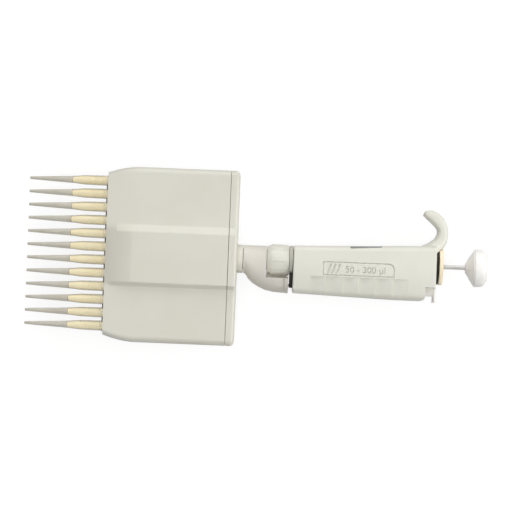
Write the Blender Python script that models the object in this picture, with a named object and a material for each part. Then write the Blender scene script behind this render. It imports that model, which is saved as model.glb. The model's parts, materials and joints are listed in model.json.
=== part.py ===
"""A twelve-channel hand pipette with its tips on, lying on its side.

X runs along the pipette's main axis, from the tips (-X) to the push knob (+X). +Y is the side of the
finger hook, and +Z is up. The origin lies under the middle of the pipette, on the surface it rests on.
Every length below is in millimetres, measured from the main axis. The mesh helpers turn them to metres.
"""

import math

import bmesh
import bpy

MM = 0.001
GAP = 0.3  # between pieces that touch in the real pipette
LONG_CUT = 1.0  # how far a cutter runs past the wall it cuts

# ---------------------------------------------------------------- driving dimensions
AXIS_HEIGHT = 16.0  # main axis above the table, which is half of the head's thickness
CHANNELS = 12
PITCH = 9.0  # spacing of the wells in a 96-well plate

# tips and nozzles
TIP_END_X = -157.0
TIP_TOP_X = -103.3
NOZZLE_END_X = -128.2
NOZZLE_TOP_X = -88.3

# head
MOUTH_X = -103.0
PARTING_X = -19.6  # line between the covers and the end cap
HEAD_END_X = -13.5
FLAT_Z = 12.0
PANEL_Z = AXIS_HEIGHT
PANEL_FOOT_Y = 20.5
PANEL_TOP_Y = 15.5
PANEL_RAMP_X = (-96.0, -85.0)
HEAD_EDGE_RADIUS = 5.5
TOP_WALL = 2.0
SIDE_WALL = 1.4
HEAD_HOLE_R = 10.6
BLOCK_X = (-98.0, -66.0)
SOCKET_END_X = -88.0
BULKHEAD_X = (-37.0, -34.0)
COMB_BAR_X = (-46.0, -41.0)
PISTON_END_X = -72.5
BOSS_END_X = -25.0
HEAD_SCREW_X = -72.0
HEAD_SCREW_Y = 5 * PITCH
PLATE_X = (-102.8, -100.3)
RAIL_Y = (25.0, 33.0)
RAIL_Z = (7.2, 8.6)
YOKE_X = (-25.0, -22.5)

# neck
TUBE_R = 7.0
TUBE_BORE_R = 5.2
RING_R = 9.65
COLLAR_X = (-9.3, 6.5)
NUT_X = (6.8, 21.9)
NUT_R = 10.9
ARM_END_X = 21.8
ARM_TOP_Y = -11.6

# handle
HANDLE_X = (24.8, 121.7)
NOTCH_X = 114.8
NOTCH_Y = -13.6
WALL = 2.4
END_WALL_X = 119.0
WINDOW_X = (63.0, 84.6)
WINDOW_Z = 5.0
HOOK_HALF_WIDTH = 6.5
PLUNGER_ROD_R = 1.5
ROD_R = 1.2
EJECT_ROD_Y = -17.0
GASKET_R = 12.2
COWL_END_X = 123.7
COWL_BOTTOM_Y = 8.6
COUNTER_R = 8.9

# knob
KNOB_FOOT_X = 142.3
KNOB_RIM_X = 148.6
KNOB_END_X = 157.0
KNOB_R = 12.9

# number of flats on a round piece
FINE = 24
COARSE = 16
SMALL = 10
SMOOTH_ANGLE = math.radians(35)


# ---------------------------------------------------------------- scene, materials and helpers
def clear_scene():
    for obj in list(bpy.data.objects):
        bpy.data.objects.remove(obj)


def material(name, colour, roughness=0.45, metallic=0.0, alpha=1.0):
    made = bpy.data.materials.new(name)
    made.use_nodes = True
    shader = made.node_tree.nodes["Principled BSDF"]
    shader.inputs["Base Color"].default_value = (*colour, 1.0)
    shader.inputs["Roughness"].default_value = roughness
    shader.inputs["Metallic"].default_value = metallic
    shader.inputs["Alpha"].default_value = alpha
    made.diffuse_color = (*colour, alpha)
    return made


def empty(name, location, parent=None):
    made = bpy.data.objects.new(name, None)
    made.location = [value * MM for value in location]
    made.parent = parent
    bpy.context.scene.collection.objects.link(made)
    return made


def object_from(bm, name, finish, parent):
    """The finished bmesh as an object under its parent. Faces point outwards, and round faces are smooth."""
    bmesh.ops.remove_doubles(bm, verts=bm.verts, dist=1e-7)
    bmesh.ops.recalc_face_normals(bm, faces=bm.faces)
    mesh = bpy.data.meshes.new(name)
    bm.to_mesh(mesh)
    bm.free()
    mesh.shade_smooth()
    mesh.set_sharp_from_angle(angle=SMOOTH_ANGLE)
    if finish:
        mesh.materials.append(finish)
    obj = bpy.data.objects.new(name, mesh)
    obj.parent = parent
    bpy.context.scene.collection.objects.link(obj)
    return obj


def turned(name, profile, sides, finish, parent):
    """A piece turned about the parent's X axis. The profile is (x, radius) pairs. It is an open line where
    it starts and ends on the axis, and a closed ring otherwise."""
    bm = bmesh.new()
    verts = [bm.verts.new((x * MM, 0.0, radius * MM)) for x, radius in profile]
    edges = [bm.edges.new(pair) for pair in zip(verts, verts[1:])]
    if profile[0][1] > 0:
        edges.append(bm.edges.new((verts[-1], verts[0])))
    bmesh.ops.spin(
        bm,
        geom=verts + edges,
        cent=(0, 0, 0),
        axis=(1, 0, 0),
        angle=2 * math.pi,
        steps=sides,
        use_merge=True,
    )
    return object_from(bm, name, finish, parent)


def tube(name, x_span, inner, outer, sides, finish, parent):
    low, high = x_span
    profile = [(low, inner), (low, outer), (high, outer), (high, inner)]
    return turned(name, profile, sides, finish, parent)


def cylinder(name, x_span, radius, sides, finish, parent):
    low, high = x_span
    profile = [(low, 0.0), (low, radius), (high, radius), (high, 0.0)]
    return turned(name, profile, sides, finish, parent)


def add_loft(bm, sections):
    """Skins a row of outlines that have the same number of points, and closes both ends."""
    rings = [[bm.verts.new([v * MM for v in point]) for point in s] for s in sections]
    for first, second in zip(rings, rings[1:]):
        for i, start in enumerate(first):
            j = (i + 1) % len(first)
            bm.faces.new((start, first[j], second[j], second[i]))
    bm.faces.new(rings[0][::-1])
    bm.faces.new(rings[-1])


def loft(name, sections, finish, parent):
    bm = bmesh.new()
    add_loft(bm, sections)
    return object_from(bm, name, finish, parent)


def boxes(name, spans, finish, parent, bevel=0.0):
    """One mesh of boxes, each given as ((x0, x1), (y0, y1), (z0, z1))."""
    bm = bmesh.new()
    for (x0, x1), (y0, y1), (z0, z1) in spans:
        corners = [(y0, z0), (y1, z0), (y1, z1), (y0, z1)]
        add_loft(bm, [[(x, y, z) for y, z in corners] for x in (x0, x1)])
    if bevel:
        bmesh.ops.recalc_face_normals(bm, faces=bm.faces)
        bmesh.ops.bevel(bm, geom=list(bm.edges), offset=bevel * MM, segments=1, affect="EDGES")
    return object_from(bm, name, finish, parent)


def posts(name, places, radius, ends, axis, sides):
    """A mesh of round posts for cutting or joining. They run along X or Z between the two ends."""
    bm = bmesh.new()
    low, high = ends
    for a, b in places:
        ring = [
            (a + radius * math.cos(t), b + radius * math.sin(t))
            for t in (2 * math.pi * i / sides for i in range(sides))
        ]
        if axis == "X":
            sections = [[(x, y, z) for y, z in ring] for x in (low, high)]
        else:
            sections = [[(x, y, z) for x, y in ring] for z in (low, high)]
        add_loft(bm, sections)
    return object_from(bm, name, None, None)


def prism(name, outline, half_width, bevel=0.0, bevel_above=0.0):
    """An outline of (x, y) points, given its thickness in Z both ways from the middle. Its rims are bevelled
    where both of their ends are above the given y."""
    bm = bmesh.new()
    add_loft(bm, [[(x, y, z) for x, y in outline] for z in (-half_width, half_width)])
    if bevel:
        bmesh.ops.recalc_face_normals(bm, faces=bm.faces)
        flat = [e for e in bm.edges if abs(e.verts[0].co.z - e.verts[1].co.z) < 1e-9]
        rims = [e for e in flat if min(v.co.y for v in e.verts) > bevel_above * MM]
        bmesh.ops.bevel(bm, geom=rims, offset=bevel * MM, segments=1, affect="EDGES")
    return object_from(bm, name, None, None)


def boolean(target, tool, operation="DIFFERENCE"):
    """Cuts or joins with a hidden helper, which then belongs to the target and shares its place."""
    tool.parent = target
    tool.hide_render = True
    tool.display_type = "WIRE"
    modifier = target.modifiers.new(tool.name, "BOOLEAN")
    modifier.object = tool
    modifier.operation = operation
    return target


def coil_spring(name, x_span, mean_radius, wire_radius, turns, finish, parent):
    """A helical wire along X, as a curve with a round bevel and capped ends."""
    points_a_turn = 10
    count = int(turns * points_a_turn) + 1
    low, high = x_span[0] + wire_radius, x_span[1] - wire_radius
    curve = bpy.data.curves.new(name, "CURVE")
    curve.dimensions = "3D"
    curve.bevel_depth = wire_radius * MM
    curve.bevel_resolution = 0
    curve.use_fill_caps = True
    spline = curve.splines.new("POLY")
    spline.points.add(count - 1)
    for i, point in enumerate(spline.points):
        share = i / (count - 1)
        angle = 2 * math.pi * turns * share
        x = low + (high - low) * share
        y, z = mean_radius * math.cos(angle), mean_radius * math.sin(angle)
        point.co = (x * MM, y * MM, z * MM, 1.0)
    curve.materials.append(finish)
    obj = bpy.data.objects.new(name, curve)
    obj.parent = parent
    bpy.context.scene.collection.objects.link(obj)
    return obj


def channel_y(channel):
    """The place of a channel across the head, counted from 0 on the hook's side."""
    return (CHANNELS - 1) / 2 * PITCH - channel * PITCH


def between(table, x):
    """A value read off a table of (x, value) rows, straight between the rows."""
    if x <= table[0][0]:
        return table[0][1]
    for (x0, v0), (x1, v1) in zip(table, table[1:]):
        if x <= x1:
            return v0 + (v1 - v0) * (x - x0) / (x1 - x0)
    return table[-1][1]


# ---------------------------------------------------------------- tips and nozzles
TIP_PROFILE = [
    (TIP_TOP_X, 2.95),
    (TIP_TOP_X, 3.6),
    (-104.6, 3.5),
    (-120.5, 3.15),
    (-125.5, 2.6),
    (-144.0, 1.65),
    (TIP_END_X, 0.95),
    (TIP_END_X, 0.5),
    (-128.0, 1.85),
    (-121.0, 2.55),
]
NOZZLE_BORE_R = 0.8
NOZZLE_PROFILE = [
    (NOZZLE_END_X, NOZZLE_BORE_R),
    (NOZZLE_END_X, 1.35),
    (-121.5, 2.1),
    (-104.0, 2.5),
    (-99.9, 2.6),
    (-99.9, 3.4),
    (-98.3, 3.4),
    (-98.3, 2.9),
    (NOZZLE_TOP_X, 2.9),
    (NOZZLE_TOP_X, NOZZLE_BORE_R),
]


def make_channels(finishes, axis):
    for channel in range(CHANNELS):
        line = empty(f"channel_{channel + 1:02d}", (0, channel_y(channel), 0), axis)
        turned(f"tip_{channel + 1:02d}", TIP_PROFILE, 12, finishes["tip"], line)
        turned(f"nozzle_{channel + 1:02d}", NOZZLE_PROFILE, 8, finishes["nozzle"], line)


# ---------------------------------------------------------------- head
HALF_WIDTH = [(MOUTH_X, 55.2), (-99.8, 56.2), (-95.5, 57.5), (-88.8, 59.2), (-80.0, 59.6)]


def half_outline(x, inset=0.0, open_at=GAP / 2):
    """The upper half of the head's outline in the plane at x, from +Y round to -Y. The inset moves the
    walls inwards, the sides by SIDE_WALL where it is TOP_WALL."""
    side = inset * SIDE_WALL / TOP_WALL
    width = between(HALF_WIDTH, x) - side
    flat = FLAT_Z - inset
    panel = between([(PANEL_RAMP_X[0], FLAT_Z), (PANEL_RAMP_X[1], PANEL_Z)], x) - inset
    radius = HEAD_EDGE_RADIUS - inset
    corner = [
        (width - radius + radius * math.cos(t), flat - radius + radius * math.sin(t))
        for t in (math.radians(a) for a in (0, 30, 60, 90))
    ]
    lean = inset * 0.4
    half = [(width, open_at), *corner, (PANEL_FOOT_Y - lean, flat), (PANEL_TOP_Y - lean, panel)]
    return half + [(-y, z) for y, z in reversed(half)]


def cover_section(x, sign):
    outer = half_outline(x)
    inner = half_outline(x, TOP_WALL)
    return [(x, y, sign * z) for y, z in outer + inner[::-1]]


def whole_section(x, inset=0.0, plane=None):
    upper = half_outline(x if plane is None else plane, inset, 0.0)[1:-1]
    return [(x, y, z) for y, z in upper] + [(x, y, -z) for y, z in reversed(upper)]


def screw_places():
    return [(HEAD_SCREW_X, HEAD_SCREW_Y), (HEAD_SCREW_X, -HEAD_SCREW_Y)]


def make_covers(finishes, axis):
    stations = [MOUTH_X, -99.8, -95.5, -88.8, -85.0, -80.0, PARTING_X - GAP / 2]
    boss_r, boss_end = 3.2, 6.3
    for name, sign in (("head_front_cover", 1), ("head_back_cover", -1)):
        cover = loft(name, [cover_section(x, sign) for x in stations], finishes["shell"], axis)
        ends = sorted((sign * boss_end, sign * (FLAT_Z - TOP_WALL / 2)))
        boolean(cover, posts(name + "_bosses", screw_places(), boss_r, ends, "Z", SMALL), "UNION")
        if sign > 0:
            boolean(cover, posts("screw_threads", screw_places(), 1.55, (5.0, 9.7), "Z", SMALL))
        else:
            boolean(cover, posts("screw_holes", screw_places(), 1.6, (-13.0, -5.0), "Z", SMALL))
            boolean(cover, posts("head_recesses", screw_places(), 2.9, (-13.0, -9.8), "Z", SMALL))
    for number, (x, y) in enumerate(screw_places(), 1):
        place = empty(f"head_screw_{number}_place", (x, y, 0), axis)
        place.rotation_euler = (0, -math.pi / 2, 0)
        profile = [(-11.7, 0.0), (-11.7, 2.2), (-11.3, 2.6), (-10.1, 2.6), (-10.1, 1.25), (9.3, 1.25), (9.3, 0.0)]
        turned(f"head_screw_{number}", profile, SMALL, finishes["steel"], place)


def make_end_cap(finishes, axis):
    start = PARTING_X + GAP / 2
    rounding = [(start, 0.0), (-17.2, 0.0), (-15.2, 0.9), (-14.0, 2.2), (HEAD_END_X, 4.0)]
    sections = [whole_section(x, inset, PARTING_X) for x, inset in rounding]
    cap = loft("head_end_cap", sections, finishes["shell"], axis)
    cavity = [whole_section(x, TOP_WALL, PARTING_X) for x in (start - LONG_CUT, -16.4)]
    boolean(cap, loft("cap_cavity", cavity, None, None))
    boolean(cap, cylinder("cap_hole", (-20.0, -12.0), HEAD_HOLE_R, FINE, None, None))


def make_bulkhead(finishes, axis):
    """The tube that the head swivels on, with the plate that holds it between the covers."""
    profile = [
        (BULKHEAD_X[0], TUBE_BORE_R),
        (BULKHEAD_X[0], TUBE_R),
        (9.0, TUBE_R),
        (9.0, 8.2),
        (11.2, 8.2),
        (11.2, TUBE_BORE_R),
    ]
    swivel = turned("swivel_tube", profile, FINE, finishes["grey_plastic"], axis)
    plate = boxes("bulkhead", [(BULKHEAD_X, (-57.6, 57.6), (-6.4, 6.4))], None, None)
    boolean(plate, cylinder("bulkhead_bore", (-40, -30), TUBE_BORE_R + 0.6, FINE, None, None))
    boolean(swivel, plate, "UNION")


def make_block(finishes, axis):
    half = (CHANNELS - 1) / 2 * PITCH + 5.0
    block = boxes("nozzle_block", [(BLOCK_X, (-half, half), (-6.0, 6.0))], finishes["grey_plastic"], axis)
    lines = [(channel_y(c), 0.0) for c in range(CHANNELS)]
    socket = (BLOCK_X[0] - LONG_CUT, SOCKET_END_X)
    boolean(block, posts("nozzle_sockets", lines, 3.2, socket, "X", SMALL))
    boolean(block, posts("piston_bores", lines, 1.8, (-90.0, BLOCK_X[1] + LONG_CUT), "X", SMALL))
    boolean(block, posts("block_screw_holes", screw_places(), 1.6, (-8.0, 8.0), "Z", 8))

    strip_x = (BLOCK_X[1] + GAP, BLOCK_X[1] + GAP + 2.0)
    strip = boxes("piston_seal_strip", [(strip_x, (-half, half), (-4.5, 4.5))], finishes["rubber"], axis)
    span = (strip_x[0] - LONG_CUT, strip_x[1] + LONG_CUT)
    boolean(strip, posts("seal_holes", lines, 1.75, span, "X", 8))

    comb_y = half - 1.0
    comb = boxes("piston_comb", [(COMB_BAR_X, (-comb_y, comb_y), (-5.0, 5.0))], finishes["grey_plastic"], axis)
    pistons = posts("pistons", lines, 1.4, (PISTON_END_X, COMB_BAR_X[0] + LONG_CUT), "X", 8)
    boolean(comb, pistons, "UNION")
    boss = cylinder("comb_boss", (COMB_BAR_X[1] - LONG_CUT, BOSS_END_X), 4.6, COARSE, None, None)
    boolean(comb, boss, "UNION")
    rod_socket = cylinder("rod_socket", (-39.6, BOSS_END_X + LONG_CUT), PLUNGER_ROD_R + 0.35, SMALL, None, None)
    boolean(comb, rod_socket)


def make_head_ejector(finishes, axis):
    """The bar that pushes the tips off, and the fork that carries it from the ring at the neck."""
    plate = boxes("ejector_plate", [(PLATE_X, (-52.8, 52.8), (-8.0, 8.0))], finishes["shell"], axis)
    lines = [(channel_y(c), 0.0) for c in range(CHANNELS)]
    span = (PLATE_X[0] - LONG_CUT, PLATE_X[1] + LONG_CUT)
    boolean(plate, posts("plate_holes", lines, 3.0, span, "X", SMALL))

    rail_x = (PLATE_X[1] + GAP, YOKE_X[0] + LONG_CUT)
    yoke = [(YOKE_X, (-34.0, 34.0), (-RAIL_Z[1], RAIL_Z[1]))]
    fork = boxes("ejector_fork", yoke, finishes["grey_plastic"], axis)
    rails = [
        (rail_x, sorted((side * RAIL_Y[0], side * RAIL_Y[1])), sorted((up * RAIL_Z[0], up * RAIL_Z[1])))
        for side in (1, -1)
        for up in (1, -1)
    ]
    boolean(fork, boxes("fork_rails", rails, None, None), "UNION")
    ring = (YOKE_X[1] - LONG_CUT, COLLAR_X[0] - GAP)
    boolean(fork, cylinder("push_ring", ring, RING_R, FINE, None, None), "UNION")
    boolean(fork, cylinder("fork_bore", (-27.0, -8.0), TUBE_R + 0.35, FINE, None, None))


# ---------------------------------------------------------------- neck and ejector
ARM_BOTTOM = [(-9.3, -9.7), (-7.6, -10.0), (-5.5, -13.6), (-2.9, -16.0), (1.8, -18.8), (6.3, -20.6), (11.7, -21.7)]
ARM_BOTTOM += [(ARM_END_X, -22.3)]


def rounded_section(x, top, bottom, half_width, power=2.3, count=28):
    """A superellipse in the plane at x, turned half a step so that each of its four sides has a flat."""
    middle, half = (top + bottom) / 2, (top - bottom) / 2

    def bend(value):
        return math.copysign(abs(value / math.cos(math.pi / count)) ** (2 / power), value)

    angles = [2 * math.pi * (i + 0.5) / count for i in range(count)]
    return [(x, middle + half * bend(math.cos(t)), half_width * bend(math.sin(t))) for t in angles]


def make_ejector(finishes, axis):
    sections = [
        rounded_section(x, 9.5, bottom, 9.7 + 0.15 * (x - ARM_BOTTOM[0][0]) / 3, 2.0 + 0.012 * (x + 9.3), 20)
        for x, bottom in ARM_BOTTOM
    ]
    arm = loft("ejector_arm", sections, finishes["shell"], axis)
    boolean(arm, cylinder("collar_bore", (-12.0, 8.0), TUBE_R + 0.35, FINE, None, None))
    above = ((COLLAR_X[1], ARM_END_X + LONG_CUT), (ARM_TOP_Y, 14.0), (-20.0, 20.0))
    boolean(arm, boxes("arm_top_cut", [above], None, None))
    foot = posts("rod_foot", [(EJECT_ROD_Y, 0.0)], ROD_R + GAP, (14.0, ARM_END_X + LONG_CUT), "X", SMALL)
    boolean(arm, foot)

    line = empty("ejector_line", (0, EJECT_ROD_Y, 0), axis)
    cylinder("ejector_rod", (14.3, 103.5), ROD_R, SMALL, finishes["steel"], line)

    plate = ((121.0, 122.4), (-24.9, -14.2), (-7.0, 7.0))
    stem = ((98.0, 121.5), (-20.5, -14.2), (-3.4, 3.4))
    button = boxes("ejector_button", [plate], finishes["white"], axis)
    boolean(button, boxes("button_stem", [stem], None, None), "UNION")
    boolean(button, posts("button_socket", [(EJECT_ROD_Y, 0.0)], ROD_R + GAP, (97.0, 103.8), "X", SMALL))
    coil_spring("ejector_spring", (79.0, 97.7), 2.2, 0.3, 6, finishes["steel"], line)


def make_nut(finishes, axis):
    profile = [
        (NUT_X[0], TUBE_R + 0.35),
        (NUT_X[0], 9.7),
        (9.4, 10.7),
        (14.0, NUT_R),
        (NUT_X[1] - 0.6, 10.8),
        (NUT_X[1], 10.3),
        (NUT_X[1], 9.0),
        (8.7, 9.0),
        (8.7, TUBE_R + 0.35),
    ]
    turned("coupling_nut", profile, FINE, finishes["shell"], axis)
    spigot = [
        (11.5, 1.8),
        (11.5, 8.7),
        (22.2, 8.7),
        (22.2, 10.4),
        (24.5, 10.4),
        (24.5, 7.5),
        (46.7, 7.5),
        (46.7, 1.8),
    ]
    turned("handle_spigot", spigot, COARSE, finishes["grey_plastic"], axis)


# ---------------------------------------------------------------- handle
HANDLE_TOP = [(24.8, 10.5), (121.7, 14.1)]
HANDLE_BOTTOM = [(24.8, -21.7), (57.0, -22.55), (92.5, -23.6), (121.7, -23.6)]
HANDLE_HALF_WIDTH = [(24.8, 12.6), (60.0, 14.6), (98.0, 16.0), (108.0, 16.0), (121.7, 15.4)]
HOOK_INSIDE = [(104.0, 13.1), (110.0, 13.9), (115.4, 15.3), (119.0, 17.2), (121.5, 19.8), (122.9, 23.4)]
HOOK_INSIDE += [(121.9, 26.2), (119.0, 28.8), (112.5, 34.7)]
HOOK_OUTSIDE = [(113.2, 36.9), (116.6, 38.0), (120.8, 37.1), (126.2, 32.4), (128.8, 27.3), (129.4, 23.1)]
HOOK_OUTSIDE += [(129.1, 18.6), (128.2, 15.6), (127.0, 13.5), (126.2, 12.95)]
HOOK_ROOT = [(121.0, 12.95), (121.0, 11.8), (104.0, 11.8)]


def handle_section(x, inset, at=None):
    x_read = x if at is None else at
    return rounded_section(
        x,
        between(HANDLE_TOP, x_read) - inset,
        between(HANDLE_BOTTOM, x_read) + inset,
        between(HANDLE_HALF_WIDTH, x_read) - inset,
    )


def rounded_corner(x, y, radius):
    """The outline of what a rounded lower right corner at (x, y) takes away, with some to spare outside."""
    centre_x, centre_y = x - radius, y + radius
    angles = [math.radians(a) for a in (0, -22.5, -45, -67.5, -90)]
    arc = [(centre_x + radius * math.cos(a), centre_y + radius * math.sin(a)) for a in angles]
    return [(x + LONG_CUT, centre_y), *arc, (centre_x, y - LONG_CUT), (x + LONG_CUT, y - LONG_CUT)]


def make_handle(finishes, axis):
    start, end = HANDLE_X
    rows = [(start, 0.7), (start + 0.9, 0.0), (57.0, 0.0), (78.0, 0.0), (92.5, 0.0), (98.0, 0.0), (108.0, 0.0)]
    rows += [(end - 1.0, 0.0), (end, 0.8)]
    body = loft("handle_body", [handle_section(x, inset) for x, inset in rows], finishes["shell"], axis)

    inside = [start - LONG_CUT, 57.0, 92.5, NOTCH_X - 2.8]
    boolean(body, loft("grip_cavity", [handle_section(x, WALL) for x in inside], None, None))
    boolean(body, cylinder("top_cavity", (NOTCH_X - 3.8, END_WALL_X), 10.5, FINE, None, None))
    boolean(body, cylinder("top_hole", (END_WALL_X - LONG_CUT, end + LONG_CUT), 8.9, FINE, None, None))
    notch = ((NOTCH_X, end + 3.0), (-30.0, NOTCH_Y), (-20.0, 20.0))
    boolean(body, boxes("ejector_notch", [notch], None, None))
    boolean(body, prism("corner_cut", rounded_corner(NOTCH_X, HANDLE_BOTTOM[-1][1], 3.2), 20.0))
    slot = ((NOTCH_X - 4.0, NOTCH_X + LONG_CUT), (-20.9, NOTCH_Y - 0.2), (-3.8, 3.8))
    boolean(body, boxes("stem_slot", [slot], None, None))
    window = (WINDOW_X, (8.0, 16.0), (-WINDOW_Z, WINDOW_Z))
    boolean(body, boxes("window_cut", [window], None, None))
    outline = HOOK_INSIDE + HOOK_OUTSIDE + HOOK_ROOT
    boolean(body, prism("finger_hook", outline, HOOK_HALF_WIDTH, 1.0, 13.5), "UNION")

    cowl = tube("cap_cowl", (120.0, COWL_END_X), GASKET_R + 0.4, 14.0, FINE, None, None)
    below = ((118.0, 126.0), (-20.0, COWL_BOTTOM_Y), (-20.0, 20.0))
    boolean(cowl, boxes("cowl_cut", [below], None, None))
    boolean(body, cowl, "UNION")

    rib_low, rib_high, rib_top = 76.3, 78.6, -12.5
    ribs = [
        [point for point in handle_section(x, WALL - 1.0, rib_low) if point[1] < rib_top]
        for x in (rib_low, rib_high)
    ]
    rib = loft("spring_rib", ribs, None, None)
    boolean(rib, posts("rib_hole", [(EJECT_ROD_Y, 0.0)], ROD_R + 0.4, (75.0, 80.0), "X", SMALL))
    boolean(body, rib, "UNION")

    lens = (
        (WINDOW_X[0] + GAP, WINDOW_X[1] - GAP),
        (COUNTER_R + 0.5, 11.2),
        (-WINDOW_Z + GAP, WINDOW_Z - GAP),
    )
    boxes("window_lens", [lens], finishes["clear"], axis, 0.25)


def make_counter(finishes, axis):
    """Three number drums, side by side on a sleeve round the plunger, under the window."""
    sleeve = [
        (56.0, 4.6),
        (56.0, 5.6),
        (60.9, 5.6),
        (60.9, 8.5),
        (62.6, 8.5),
        (62.6, 5.6),
        (98.0, 5.6),
        (98.0, 4.6),
    ]
    turned("counter_sleeve", sleeve, COARSE, finishes["black"], axis)
    first, width = 62.9, 6.9
    for place, name in enumerate(("drum_hundreds", "drum_tens", "drum_units")):
        low = first + place * (width + GAP)
        tube(name, (low, low + width), 5.9, COUNTER_R, COARSE, finishes["black"], axis)


def make_top(finishes, axis):
    bore = PLUNGER_ROD_R + 0.3
    tube("volume_nut", (103.0, 109.0), 4.7, 10.2, COARSE, finishes["brass"], axis)
    screw = [(99.9, bore), (99.9, 4.4), (110.0, 4.4), (110.0, 3.2), (101.4, 3.2), (101.4, bore)]
    turned("volume_screw", screw, COARSE, finishes["brass"], axis)
    drive = [(107.0, bore), (107.0, 2.9), (115.6, 2.9), (115.6, 4.5), (117.2, 4.5), (117.2, bore)]
    turned("drive_sleeve", drive, COARSE, finishes["grey_plastic"], axis)
    bush = [
        (114.0, 4.9),
        (114.0, 9.8),
        (118.7, 9.8),
        (118.7, 8.6),
        (121.7, 8.6),
        (121.7, bore),
        (117.5, bore),
        (117.5, 4.9),
    ]
    turned("top_bush", bush, COARSE, finishes["grey_plastic"], axis)
    rim = GASKET_R - 0.3
    gasket = [(122.0, 2.5), (122.0, rim), (122.4, GASKET_R), (123.3, GASKET_R), (123.7, rim), (123.7, 2.5)]
    turned("cap_gasket", gasket, FINE, finishes["rubber"], axis)
    cap = [(124.0, bore), (124.0, 12.3), (124.4, 12.6), (126.1, 12.6), (126.6, 12.0), (126.8, 3.0), (126.8, bore)]
    turned("top_cap", cap, FINE, finishes["cream"], axis)


# ---------------------------------------------------------------- plunger
def make_plunger(finishes, axis):
    bore = PLUNGER_ROD_R + 0.3
    cylinder("plunger_rod", (-39.3, 150.0), PLUNGER_ROD_R, SMALL, finishes["steel"], axis)
    collar = [(73.0, bore), (73.0, 2.6), (95.7, 2.6), (95.7, 4.2), (99.6, 4.2), (99.6, bore)]
    turned("plunger_collar", collar, SMALL, finishes["grey_plastic"], axis)
    coil_spring("main_spring", (61.9, 95.4), 3.4, 0.35, 9, finishes["steel"], axis)
    tube("blowout_washer", (60.0, 61.6), bore, 4.3, SMALL, finishes["steel"], axis)
    coil_spring("blowout_spring", (47.0, 59.7), 3.3, 0.45, 4, finishes["steel"], axis)
    knob = [
        (KNOB_FOOT_X, bore),
        (KNOB_FOOT_X, 3.6),
        (144.4, 6.6),
        (KNOB_RIM_X - 0.3, 12.5),
        (KNOB_RIM_X, KNOB_R),
        (153.6, 12.8),
        (155.6, 12.0),
        (156.7, 10.4),
        (KNOB_END_X - 0.2, 9.0),
        (155.4, 9.0),
        (155.4, 0.0),
    ]
    knob_solid = [(150.3, 0.0), (150.3, bore), *knob]
    turned("knob", knob_solid, FINE, finishes["white"], axis)
    button = [(155.7, 0.0), (155.7, 8.7), (156.7, 8.7), (KNOB_END_X, 6.0), (KNOB_END_X, 0.0)]
    turned("knob_cap", button, FINE, finishes["white"], axis)


def main():
    clear_scene()
    finishes = {
        "shell": material("light_grey_plastic", (0.66, 0.65, 0.58), 0.42),
        "white": material("white_plastic", (0.86, 0.85, 0.82), 0.35),
        "cream": material("cream_plastic", (0.82, 0.70, 0.50), 0.4),
        "grey_plastic": material("grey_plastic", (0.42, 0.42, 0.40), 0.5),
        "nozzle": material("nozzle_cream", (0.84, 0.74, 0.47), 0.4),
        "tip": material("tip_plastic", (0.52, 0.52, 0.47), 0.25, alpha=0.6),
        "clear": material("clear_plastic", (0.75, 0.78, 0.78), 0.05, alpha=0.35),
        "black": material("black_plastic", (0.03, 0.03, 0.03), 0.4),
        "rubber": material("black_rubber", (0.02, 0.02, 0.018), 0.7),
        "steel": material("steel", (0.62, 0.62, 0.61), 0.25, 1.0),
        "brass": material("brass", (0.66, 0.50, 0.22), 0.35, 1.0),
    }
    axis = empty("main_axis", (0, 0, AXIS_HEIGHT))
    make_channels(finishes, axis)
    make_covers(finishes, axis)
    make_end_cap(finishes, axis)
    make_bulkhead(finishes, axis)
    make_block(finishes, axis)
    make_head_ejector(finishes, axis)
    make_ejector(finishes, axis)
    make_nut(finishes, axis)
    make_handle(finishes, axis)
    make_counter(finishes, axis)
    make_top(finishes, axis)
    make_plunger(finishes, axis)


main()
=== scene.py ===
"""The looks of a twelve-channel hand pipette with its tips on, lying on a pale floor.

Sizes are in millimetres, measured from the pipette's main axis: X towards the push knob, Y towards the
finger hook, Z up. place() turns them into points of the scene. Every piece starts from a primitive, is
shaped in edit mode, and stands for the plain solid that it replaces.
"""

import json
import math

import bmesh
import bpy
from mathutils import Matrix, Vector


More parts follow.
